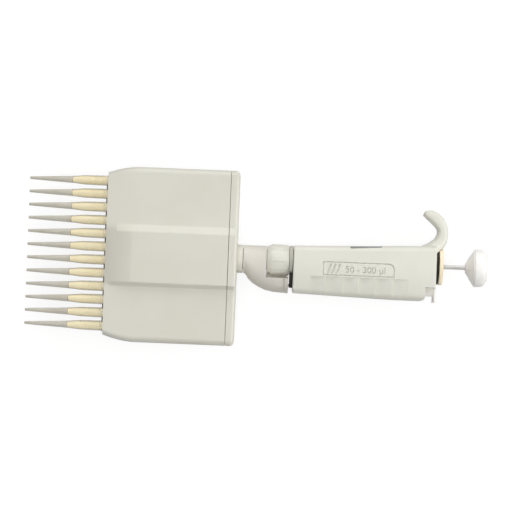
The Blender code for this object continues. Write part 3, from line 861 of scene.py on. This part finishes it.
# ---------------------------------------------------------------- neck
def make_arm():
    """The ejector's arm: a collar round the neck whose lower side flares out under the handle."""
    low, high = span("ejector_arm")
    collar_r = 9.5
    bore = 7.35
    shoulder_x = 6.5
    # x, lower edge, half width
    flare = [
        (low.x, -9.6, 9.6),
        (-8.2, -9.85, 9.7),
        (-7.2, -10.8, 9.8),
        (-5.6, -13.4, 9.9),
        (-2.9, -16.0, 10.0),
        (1.8, -18.8, 10.2),
        (6.3, -20.6, 10.4),
        (11.7, -21.7, 10.3),
        (18.2, -22.1, 10.0),
        (18.4, -21.9, 9.0),
        (19.2, -21.9, 9.0),
        (19.4, -22.25, 10.8),
        (high.x, -22.35, 10.85),
    ]
    x, bottom, half_z = flare[0]
    deselect()
    bpy.ops.mesh.primitive_circle_add(
        vertices=FINE,
        radius=MM,
        fill_type="NGON",
        location=place(x, (collar_r + bottom) / 2),
        rotation=(0.0, math.radians(90), 0.0),
    )
    half_y = (collar_r - bottom) / 2
    bpy.context.object.scale = (half_z, half_y, 1.0)
    arm = settle("ejector_lever")
    edit()
    for next_x, next_bottom, next_half_z in flare[1:]:
        next_half_y = (collar_r - next_bottom) / 2
        extrude_to((next_x - x, (next_bottom - bottom) / 2, 0))
        middle = (collar_r + next_bottom) / 2
        scale_about(next_x, middle, next_half_y / half_y, next_half_z / half_z)
        x, bottom, half_y, half_z = next_x, next_bottom, next_half_y, next_half_z
    weld()
    leave()
    drill(arm, low.x - 2, shoulder_x + 1, bore)
    room = [(shoulder_x, 0.0), (shoulder_x, 9.7), (9.4, 10.9), (9.7, 11.15), (30.0, 11.15)]
    combine(arm, turned("nut_room", room))
    combine(arm, block("above", (shoulder_x, 30.0), (-9.0, 14.0), (-20.0, 20.0)))
    combine(arm, block("above_front", (shoulder_x, 30.0), (-11.9, 14.0), (2.5, 20.0)))
    combine(arm, block("above_back", (shoulder_x, 30.0), (-11.9, 14.0), (-20.0, -2.5)))
    drill(arm, 13.0, 30.0, 1.5, SMALL, EJECT_ROD_Y)
    soften(arm, 0.2, 2, 45.0)
    finish_piece(arm, "ejector", ["ejector_arm"], "light_grey_plastic", material=ARM_PLASTIC)


def make_push_rod():
    low, high = span("ejector_rod")
    radius = high.z
    outline = [
        (low.x, 0.0),
        (low.x, radius - 0.3),
        (low.x + 0.3, radius),
        (high.x - 0.3, radius),
        (high.x, radius - 0.3),
    ]
    rod = turned("push_rod", outline, SMALL, EJECT_ROD_Y)
    finish_piece(rod, "ejector", ["ejector_rod"], "steel")


def make_nut():
    """The coupling nut, with eight broad ribs for the fingers."""
    low, high = span("coupling_nut")
    outer = high.z - 0.35
    bore, lip_bore = 9.0, 7.35
    profile = [
        (low.x, lip_bore),
        (low.x, 9.2),
        (low.x + 0.4, 9.6),
        (low.x + 2.0, 10.2),
        (low.x + 2.6, 10.45),
        (low.x + 3.0, outer),
        (low.x + 7.5, outer + 0.05),
        (high.x - 1.4, outer),
        (high.x - 1.0, 10.35),
        (high.x - 0.4, 10.3),
        (high.x, 9.9),
        (high.x, bore),
        (low.x + 1.9, bore),
        (low.x + 1.9, lip_bore),
    ]
    nut = turned("union_nut", profile)
    edit(nut)
    ribs = 8

    def on_rib(point):
        angle = math.degrees(math.atan2(point.z, point.y)) % 360
        share = (angle / 360 * ribs + 0.36) % 1.0
        outside = math.hypot(point.z, point.y) > outer - 0.25
        return outside and low.x + 3.0 < point.x < high.x - 1.4 and share < 0.42

    pick("FACE", on_rib)
    bpy.ops.mesh.extrude_region_shrink_fatten(TRANSFORM_OT_shrink_fatten={"value": 0.3 * MM})
    leave()
    soften(nut, 0.12, 2, 30.0)
    finish_piece(nut, "handle", ["coupling_nut"], "light_grey_plastic", material=HANDLE_PLASTIC)


def make_spigot():
    """The handle's spigot, with a grooved ring that shows between the nut and the handle."""
    low, high = span("handle_spigot")
    flange = high.z
    ring_x = (22.2, 24.5)
    spigot = turned(
        "threaded_spigot",
        [
            (low.x, 1.8),
            (low.x, 8.4),
            (low.x + 0.4, 8.7),
            (ring_x[0], 8.7),
            (ring_x[0], flange - 0.3),
            (ring_x[0] + 0.3, flange),
            (ring_x[0] + 0.9, flange),
            (ring_x[0] + 1.0, flange - 0.2),
            (ring_x[0] + 1.3, flange - 0.2),
            (ring_x[0] + 1.4, flange),
            (ring_x[1] - 0.3, flange),
            (ring_x[1], flange - 0.3),
            (ring_x[1], 7.5),
            (high.x, 7.5),
            (high.x, 1.8),
        ],
    )
    finish_piece(spigot, "handle", ["handle_spigot"], "grey_plastic")


# ---------------------------------------------------------------- handle
HANDLE_X = (span("handle_body")[0].x, 121.7)
TOP_LINE = [(24.8, 10.5), (57.0, 11.55), (98.0, 13.15), (121.7, 14.1)]
BOTTOM_LINE = [(24.8, -21.9), (57.0, -22.9), (92.5, -23.85), (121.7, -23.9)]
SIDE_LINE = [(24.8, 12.6), (60.0, 14.6), (98.0, 16.0), (108.0, 16.0), (121.7, 15.4)]
GRIP_TOP_Y = -9.5
GROOVES = (36.3, 47.3, 58.6, 69.9, 81.2, 92.3, 103.5)
GROOVE_DEPTH = 1.7
HANDLE_RADIUS = 3.8
HANDLE_BULGE = 0.18
WINDOW_HALF = 11.9  # half width of the counter window across the handle


def along(line, x):
    """The value of a line of (x, value) points at x."""
    for (x0, v0), (x1, v1) in zip(line, line[1:]):
        if x <= x1:
            return v0 + (v1 - v0) * (x - x0) / (x1 - x0)
    return line[-1][1]


def handle_station(x, thinner=0.0, shorter=0.0):
    top, bottom = along(TOP_LINE, x), along(BOTTOM_LINE, x)
    return (x, (top + bottom) / 2, (top - bottom) / 2 - shorter, along(SIDE_LINE, x) - thinner)


def cut_grooves(grip):
    """Cuts the lower half of the grip into long shallow steps that rise from one groove to the next."""
    stations = []
    for start, end in zip(GROOVES, GROOVES[1:]):
        stations += [handle_station(start + 0.02, GROOVE_DEPTH, -0.3), handle_station(end, -0.08, -0.3)]
    core = rounded_loft("grip_core", stations, HANDLE_RADIUS, 10, HANDLE_BULGE)
    steps = block("grip_steps", (GROOVES[0] + 0.03, GROOVES[-1] - 0.03), (-30.0, GRIP_TOP_Y), (-20.0, 20.0))
    combine(steps, core)
    combine(grip, steps)


# inner edge, outer edge and half width of the hook, from inside the handle to the tip
HOOK_SECTIONS = [
    ((105.0, 4.0), (121.0, 2.0), 13.0),
    ((107.5, 11.2), (122.6, 7.4), 11.0),
    ((112.8, 14.2), (124.8, 11.4), 9.4),
    ((117.3, 16.4), (127.5, 14.0), 8.1),
    ((120.5, 19.0), (129.0, 17.5), 7.2),
    ((122.0, 21.7), (129.6, 21.2), 6.8),
    ((122.3, 24.1), (129.5, 25.0), 6.6),
    ((121.2, 26.2), (128.6, 28.8), 6.5),
    ((118.9, 28.5), (126.4, 32.8), 6.4),
    ((116.3, 30.8), (122.2, 36.8), 6.3),
    ((114.0, 32.8), (117.6, 38.3), 6.2),
    ((112.4, 34.2), (114.3, 37.9), 6.0),
]


def make_hook():
    """A bar with rounded edges that leaves the handle wide and curls over the finger."""
    (x0, y0), (x1, y1), half_z = HOOK_SECTIONS[0]
    deselect()
    bpy.ops.mesh.primitive_plane_add(
        size=2 * MM,
        location=place((x0 + x1) / 2, (y0 + y1) / 2),
        rotation=(math.radians(90), 0.0, 0.0),
    )
    half = math.hypot(x1 - x0, y1 - y0) / 2
    bpy.context.object.scale = (half, half_z, 1.0)
    hook = settle("hook")
    angle = math.atan2(y1 - y0, x1 - x0)
    edit()
    turn_about((x0 + x1) / 2, (y0 + y1) / 2, angle)
    bpy.ops.mesh.bevel(offset=0.8 * half * MM, segments=10, affect="VERTICES")
    bpy.ops.mesh.select_all(action="SELECT")
    middle = ((x0 + x1) / 2, (y0 + y1) / 2)
    for (x0, y0), (x1, y1), next_half_z in HOOK_SECTIONS[1:]:
        next_middle = ((x0 + x1) / 2, (y0 + y1) / 2)
        next_half = math.hypot(x1 - x0, y1 - y0) / 2
        next_angle = math.atan2(y1 - y0, x1 - x0)
        extrude_to((next_middle[0] - middle[0], next_middle[1] - middle[1], 0))
        turn_about(*next_middle, -angle)
        bpy.ops.transform.resize(
            value=(next_half / half, 1.0, next_half_z / half_z),
            center_override=place(*next_middle),
        )
        turn_about(*next_middle, next_angle)
        middle, half, half_z, angle = next_middle, next_half, next_half_z, next_angle
    bpy.ops.mesh.inset(thickness=0.9 * MM)
    slide(-0.45, 0.35)
    weld()
    leave()
    return hook


def turn_about(x, y, angle):
    """Turns what is selected about Z, counter-clockwise seen from above."""
    bpy.ops.transform.rotate(value=-angle, orient_axis="Z", center_override=place(x, y))


def make_handle():
    start, end = HANDLE_X
    marks = (start, 57.0, 92.5, 98.0, 108.0, end)
    grip = rounded_loft("handle_shell", [handle_station(x) for x in marks], HANDLE_RADIUS, 10, HANDLE_BULGE)
    combine(grip, make_hook(), "UNION")
    apply_modifier(grip, "REMESH", mode="VOXEL", voxel_size=0.5 * MM)
    apply_modifier(grip, "SMOOTH", factor=0.5, iterations=5)
    cut_grooves(grip)

    wall = 2.4
    stations = [handle_station(x, wall, wall) for x in (25.0, 57.0, 92.5, 112.0)]
    stations[0] = (start - 2.0, *stations[0][1:])
    combine(grip, rounded_loft("grip_cavity", stations, HANDLE_RADIUS - 1.5, 6, HANDLE_BULGE + 0.02))
    # room at the knob's end for the stop, the rod, the gasket and the cap
    for x0, x1, radius in (
        (111.0, 119.0, 10.5),
        (118.0, end + 3, 8.9),
        (end, 123.8, 12.6),
        (123.7, 129.0, 12.9),
    ):
        drill(grip, x0, x1, radius)
    combine(grip, block("end_cut", (end, 131.0), (-30.0, 8.6), (-20.0, 20.0)))
    combine(grip, block("ejector_notch", (114.8, 131.0), (-30.0, -13.6), (-20.0, 20.0)))
    corner = block("corner", (111.6, 131.0), (-30.0, -20.4), (-20.0, 20.0))
    combine(corner, rod_along_z("corner_round", 111.6, -20.4, (-21.0, 21.0), 3.2, MEDIUM))
    combine(grip, corner)
    combine(grip, block("stem_slot", (110.0, 116.0), (-20.9, -13.8), (-3.8, 3.8)))
    window = block("window_cut", (63.0, 84.6), (8.0, 16.0), (-WINDOW_HALF, WINDOW_HALF))
    round_edges(window, lambda p: abs(p.y - 12.0) < 0.1, 1.0, 4)
    combine(grip, window)
    engrave_panel(grip)
    finish_piece(grip, "handle", ["handle_body"], "light_grey_plastic", 34.0, HANDLE_PLASTIC)


def make_lip():
    """A dark lip under the neck end of the handle: painted shade, which stands for the shadowed gap
    between the ejector arm and the handle.
    """
    start, end = 22.5, HANDLE_X[0]
    # Painted shade: a black piece where there is only the shadow of the gap.
    shade_lip = block("handle_shade_lip", (start, end), (-18.4, -8.0), (-9.0, 9.0))
    round_edges(shade_lip, lambda p: abs(p.x - (start + end) / 2) < 0.1 and p.y < -15, 1.5, 4)
    drill(shade_lip, 20.0, 26.0, 10.45)
    drill(shade_lip, 20.0, 26.0, 1.6, SMALL, EJECT_ROD_Y)
    soften(shade_lip, 0.3, 2, 50.0)
    finish_piece(shade_lip, "handle", [], "black_rubber")


def engrave_panel(grip):
    """A shallow recessed panel with a raised volume range on the broad face of the grip."""
    low_x, high_x, low_y, high_y = 45.0, 93.4, -8.6, 0.7
    round_corner = 4.0
    middle = ((low_x + high_x) / 2, (low_y + high_y) / 2)
    depth = 1.0
    rim = 0.6
    deselect()
    bpy.ops.mesh.primitive_grid_add(
        x_subdivisions=60,
        y_subdivisions=12,
        size=2 * MM,
        location=place(*middle, 24.0),
    )
    bpy.context.object.scale = ((high_x - low_x) / 2, (high_y - low_y) / 2, 1.0)
    panel = settle("panel")
    apply_modifier(
        panel,
        "SHRINKWRAP",
        target=grip,
        wrap_method="PROJECT",
        use_project_z=True,
        use_negative_direction=True,
        use_positive_direction=False,
    )
    edit(panel)
    slide(0, 0, -depth)
    extrude_to((0, 0, 3.0))
    weld()
    leave()
    marks = copy_of(panel, "marks", 0.0)
    outline = block("outline", (low_x, high_x), (low_y, high_y), (0.0, 30.0))
    inside = block("inside", (low_x + rim, high_x - rim), (low_y + rim, high_y - rim), (-5.0, 40.0))

    def at_corner(point):
        return point.x > high_x - 1 and point.y > high_y - 1 and 5.0 < point.z < 25.0

    round_edges(outline, at_corner, round_corner, 8)
    round_edges(inside, at_corner, round_corner - rim, 8)
    combine(panel, outline, "INTERSECT")
    combine(panel, inside)
    combine(grip, panel)

    letters = lettering("letters", "50 - 300 µl", place(60.0, -6.3, 12.0), 6.2, 5.0)
    for start in (47.6, 50.6, 53.6):
        slash = block("slash", (start, start + 1.3), (-7.2, -0.7), (6.0, 20.0))
        edit(slash)
        pick("VERT", lambda p: p.y > -1.0)
        slide(2.2)
        leave()
        combine(letters, slash, "UNION")
    combine(marks, letters, "INTERSECT")
    combine(grip, marks)


def make_window():
    low, high = span("window_lens")
    top = high.y + 0.4
    half = WINDOW_HALF - 0.2
    lens = block("counter_window", (low.x, high.x), (low.y, top), (-half, half))
    edit(lens)
    for x in (low.x, high.x):
        # the lens follows the handle's outline, a little below it
        pick("VERT", lambda p: abs(p.x - x) < 0.1 and p.y > high.y)
        slide(0, along(TOP_LINE, x) - 0.2 - top)
    pick("EDGE", lambda p: low.y + 0.6 < p.y < high.y + 0.1)
    bpy.ops.mesh.bevel(offset=0.9 * MM, segments=4, affect="EDGES")
    pick("FACE", lambda p: p.y > high.y + 0.3)
    bpy.ops.mesh.inset(thickness=0.7 * MM)
    slide(0, -0.2)
    leave()
    soften(lens, 0.12, 2, 30.0)
    finish_piece(lens, "handle", ["window_lens"], "clear_plastic")


def make_drums():
    """Number drums with ten raised figures each, from 0 to 9."""
    for node, body in (("drum_hundreds", "hundreds"), ("drum_tens", "tens"), ("drum_units", "units")):
        low, high = span(node)
        radius = high.z
        profile = [
            (low.x, 5.9),
            (low.x, radius - 0.3),
            (low.x + 0.3, radius),
            (high.x - 0.3, radius),
            (high.x, radius - 0.3),
            (high.x, 5.9),
        ]
        drum = turned(f"number_{node}", profile, MEDIUM)
        finish_piece(drum, body, [node], "black_plastic")
        figures = []
        middle = place((low.x + high.x) / 2)
        for figure in range(10):
            piece = lettering(f"figure_{figure}", str(figure), middle, 5.6, 0.12, "CENTER")
            edit(piece)
            slide(0, 0, radius)
            turn = math.radians(-90 + 36 * figure)
            bpy.ops.transform.rotate(value=-turn, orient_axis="X", center_override=place(0.0))
            leave()
            figures.append(piece)
        deselect()
        for piece in figures:
            piece.select_set(True)
        bpy.context.view_layer.objects.active = figures[0]
        bpy.ops.object.join()
        figures[0].name = f"figures_{body}"
        figures[0].data.materials.clear()
        figures[0].data.materials.append(FINISHES["white_plastic"])
        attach(figures[0], body)


def make_button():
    """The ejector's thumb button: a curved plate at the end of a square stem."""
    low, high = span("ejector_button")
    plate_x = (121.0, high.x)
    plate = block("thumb_button", plate_x, (low.y, high.y), (low.z, high.z))
    round_edges(plate, lambda p: abs(p.x - sum(plate_x) / 2) < 0.1, 1.6, 5)
    edit(plate)
    pick("VERT", lambda p: p.y < low.y + 0.5)
    slide(-0.5)
    leave()
    stem = block("stem", (low.x, 121.5), (-20.5, high.y), (-3.4, 3.4))
    round_edges(stem, lambda p: abs(p.x - (low.x + 121.5) / 2) < 0.1, 0.6, 3)
    combine(plate, stem, "UNION")
    drill(plate, low.x - 1, 103.8, 1.5, SMALL, EJECT_ROD_Y)
    soften(plate, 0.25, 2, 50.0)
    finish_piece(plate, "ejector", ["ejector_button"], "white_plastic")


# ---------------------------------------------------------------- plunger and top
def make_gasket():
    low, high = span("cap_gasket")
    radius = high.z
    gasket = turned(
        "gasket_ring",
        [
            (low.x, 2.5),
            (low.x, radius - 0.35),
            (low.x + 0.35, radius),
            (low.x + 0.7, radius),
            (low.x + 0.85, radius - 0.15),
            (low.x + 1.0, radius),
            (high.x - 0.35, radius),
            (high.x, radius - 0.35),
            (high.x, 2.5),
        ],
    )
    finish_piece(gasket, "handle", ["cap_gasket"], "black_rubber")


def make_top_cap():
    low, high = span("top_cap")
    radius = high.z
    bore = 1.9
    cap = turned(
        "cream_cap",
        [
            (low.x, bore),
            (low.x, radius - 0.35),
            (low.x + 0.15, radius - 0.1),
            (low.x + 0.45, radius),
            (high.x - 0.9, radius),
            (high.x - 0.5, radius - 0.15),
            (high.x - 0.25, radius - 0.5),
            (high.x - 0.15, radius - 1.2),
            (high.x - 0.15, 4.2),
            (high.x, 3.8),
            (high.x, 2.4),
            (high.x - 0.4, bore),
        ],
    )
    finish_piece(cap, "handle", ["top_cap"], "cream_plastic")


def make_plunger_rod():
    low, high = span("plunger_rod")
    radius = high.z
    rod = turned(
        "plunger_shaft",
        [(low.x, 0.0), (low.x, radius - 0.3), (low.x + 0.3, radius), (high.x, radius)],
        MEDIUM,
    )
    finish_piece(rod, "plunger", ["plunger_rod"], "steel", material=SATIN_STEEL)


def make_knob():
    """The push knob, a mushroom on a cone, with a flat button let into its end."""
    low, high = span("knob")
    foot, end, radius = low.x, high.x, high.z
    rim = foot + 6.2
    bore = 1.8
    outline = [
        (150.3, 0.0),
        (150.3, bore),
        (foot + 0.2, bore),
        (foot, bore + 0.2),
        (foot, 3.3),
        (foot + 0.25, 3.8),
        (rim - 1.0, 11.7),
        (rim - 0.8, 11.7),
        (rim - 0.45, 11.6),
        (rim - 0.4, 12.5),
        (rim - 0.1, radius - 0.1),
        (rim + 0.3, radius),
        (rim + 4.4, radius - 0.15),
        (rim + 5.6, radius - 0.5),
        (rim + 6.5, radius - 1.1),
        (rim + 7.2, radius - 1.9),
        (rim + 7.7, radius - 2.8),
        (end, 9.3),
        (end - 0.1, 9.0),
        (155.4, 9.0),
    ]
    knob = turned("push_knob", outline)
    finish_piece(knob, "plunger", ["knob"], "white_plastic", 28.0)

    low, high = span("knob_cap")
    button = turned(
        "knob_button",
        [
            (low.x, 0.0),
            (low.x, 8.7),
            (high.x - 0.5, 8.7),
            (high.x - 0.25, 8.5),
            (high.x - 0.1, 8.0),
            (high.x, 6.6),
            (high.x - 0.15, 5.0),
            (high.x - 0.3, 2.5),
        ],
    )
    finish_piece(button, "plunger", ["knob_cap"], "white_plastic")


def squeeze_springs():
    """Gives the main, blowout and ejector springs meshes of their own."""
    springs = (
        ("main_spring", "plunger_press", 15.0),
        ("blowout_spring", "plunger_press", 3.75),
        ("ejector_spring", "ejector_press", 5.5),
    )
    for node, joint, travel in springs:
        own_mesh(frame["nodes"][node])


def finish_inner_solids():
    """The solids that stay as they are get the same finishes, by their material slots."""
    for part in frame["record"]["subparts"]:
        node = frame["nodes"][part["node"]]
        if not node.hide_render:
            for slot in node.material_slots:
                slot.material = FINISHES[part["material_slot"]]


# ---------------------------------------------------------------- stage
def make_stage():
    deselect()
    bpy.ops.mesh.primitive_plane_add(size=6.0, location=(0.0, 0.0, cad_low.z))
    floor = bpy.context.object
    floor.name = "floor"
    floor.data.materials.append(floor_paper("floor_paper"))
    floor.visible_diffuse = False

    # soft light from all round above the floor, and hardly any from below it
    world = bpy.data.worlds.new("studio")
    world.use_nodes = True
    nodes = world.node_tree.nodes
    links = world.node_tree.links
    background = nodes["Background"]
    background.inputs["Color"].default_value = (1.0, 1.0, 1.0, 1.0)
    height = nodes.new("ShaderNodeSeparateXYZ")
    links.new(nodes.new("ShaderNodeTexCoord").outputs["Generated"], height.inputs[0])
    sky = nodes.new("ShaderNodeMapRange")
    sky.inputs["From Min"].default_value = -0.1
    sky.inputs["From Max"].default_value = 0.1
    sky.inputs["To Min"].default_value = 0.02
    sky.inputs["To Max"].default_value = 0.25
    links.new(height.outputs["Z"], sky.inputs["Value"])
    links.new(sky.outputs[0], background.inputs["Strength"])
    bpy.context.scene.world = world

    add_light("overhead_light", (0.0, 0.0, 1.55), 1.2, 6.3)
    add_light("fill_light", (0.0, -1.3, 1.4), 1.0, 6.0)
    add_light("key_light", (0.0, 1.75, 0.75), 1.2, 19.0)
    add_light("side_light", (1.75, 0.0, 0.75), 1.2, 19.0)


def add_light(name, location, size, power):
    bpy.ops.object.light_add(type="AREA", location=location)
    light = bpy.context.object
    light.name = name
    light.data.shape = "SQUARE"
    light.data.size = size
    light.data.energy = power
    light.rotation_euler = (AXIS - Vector(location)).to_track_quat("-Z", "Y").to_euler()


def make_camera():
    """Looks straight down on the middle of the pipette, from far away and turned a little."""
    distance = 1.6
    view_width = 0.3497
    sensor = 36.0
    middle = place(-0.78, 2.29)
    turn = math.radians(2.34)
    bpy.ops.object.camera_add(location=middle + Vector((0, 0, distance)))
    camera = bpy.context.object
    camera.rotation_euler = (0.0, 0.0, turn)
    camera.data.sensor_width = sensor
    camera.data.lens = sensor * distance / view_width
    camera.data.clip_end = 20.0
    bpy.context.scene.camera = camera
    bpy.context.scene.view_settings.view_transform = "Standard"


make_channels()
make_covers()
make_end_cap()
make_screws()
make_stripper()
make_fork()
make_arm()
make_push_rod()
make_nut()
make_spigot()
make_handle()
make_lip()
make_window()
make_drums()
make_button()
make_gasket()
make_top_cap()
make_plunger_rod()
make_knob()
finish_inner_solids()
squeeze_springs()
make_stage()
make_camera()
